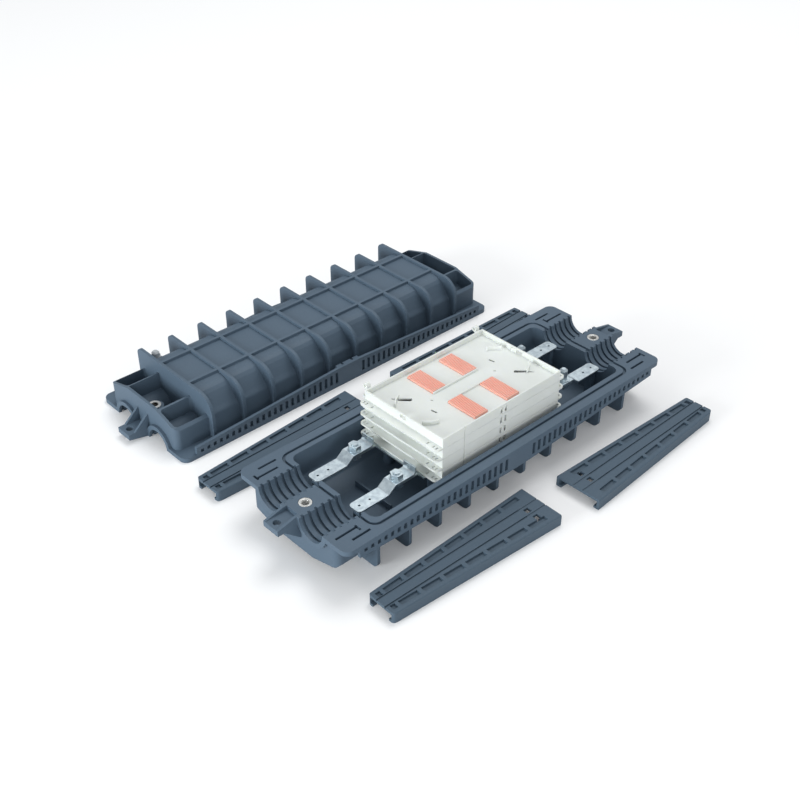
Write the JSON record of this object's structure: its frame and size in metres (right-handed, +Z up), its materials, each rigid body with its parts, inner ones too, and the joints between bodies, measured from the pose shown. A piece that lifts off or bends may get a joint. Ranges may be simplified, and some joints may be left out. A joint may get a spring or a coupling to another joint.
{
  "type": "fibre splice closure",
  "caption": "Inline fibre splice closure laid open: ribbed base with hinged splice trays on steel brackets, matching cover and tapered wedge clamps beside it.",
  "frame": {"origin": "on the ground under the middle of the laid-out set of base, cover and clamps", "axes": "+X along the closure, +Y from the base towards the cover, +Z up"},
  "size_m": [0.5648, 0.5598, 0.1084],
  "materials": {
    "shell": "moulded matt",
    "clamp": "moulded matt",
    "zinc": "zinc plated",
    "insert_metal": "turned, bright",
    "tray": "moulded satin",
    "holder": "moulded soft matt",
    "valve_metal": "turned",
    "valve_cap": "moulded"
  },
  "bodies": {
    "closure": {"air_valve_body": "valve_metal", "air_valve_cap": "valve_cap", "base_insert_far": "insert_metal", "base_insert_near": "insert_metal", "base_shell": "shell", "bracket_bolt_far_back": "zinc", "bracket_bolt_far_front": "zinc", "bracket_bolt_near_back": "zinc", "bracket_bolt_near_front": "zinc", "bracket_nut_far_back": "zinc", "bracket_nut_far_front": "zinc", "bracket_nut_near_back": "zinc", "bracket_nut_near_front": "zinc", "cable_bracket_far_back": "zinc", "cable_bracket_far_front": "zinc", "cable_bracket_near_back": "zinc", "cable_bracket_near_front": "zinc", "cover_bush_far": "insert_metal", "cover_bush_near": "insert_metal", "cover_shell": "shell", "splice_holder_1_far_back": "holder", "splice_holder_1_far_front": "holder", "splice_holder_1_near_back": "holder", "splice_holder_1_near_front": "holder", "splice_tray_1": "tray", "tray_carrier": "zinc", "tray_screws": "zinc", "wedge_clamp_back_far": "clamp", "wedge_clamp_back_near": "clamp", "wedge_clamp_front_far": "clamp", "wedge_clamp_front_near": "clamp"},
    "tray_2": {"splice_holder_2_far_back": "holder", "splice_holder_2_far_front": "holder", "splice_holder_2_near_back": "holder", "splice_holder_2_near_front": "holder", "splice_tray_2": "tray"},
    "tray_3": {"splice_holder_3_far_back": "holder", "splice_holder_3_far_front": "holder", "splice_holder_3_near_back": "holder", "splice_holder_3_near_front": "holder", "splice_tray_3": "tray"},
    "tray_4": {"splice_holder_4_far_back": "holder", "splice_holder_4_far_front": "holder", "splice_holder_4_near_back": "holder", "splice_holder_4_near_front": "holder", "splice_tray_4": "tray"}
  },
  "joints": [
    {"name": "tray_2_hinge", "type": "hinge", "parent": "closure", "child": "tray_2", "pos_m": [-0.0014, -0.03618, 0.0639], "axis": [-1, 0, 0], "range_deg": [0, 45]},
    {"name": "tray_3_hinge", "type": "hinge", "parent": "tray_2", "child": "tray_3", "pos_m": [-0.0014, -0.03618, 0.0776], "axis": [-1, 0, 0], "range_deg": [0, 45]},
    {"name": "tray_4_hinge", "type": "hinge", "parent": "tray_3", "child": "tray_4", "pos_m": [-0.0014, -0.03618, 0.0913], "axis": [-1, 0, 0], "range_deg": [0, 45]}
  ]
}
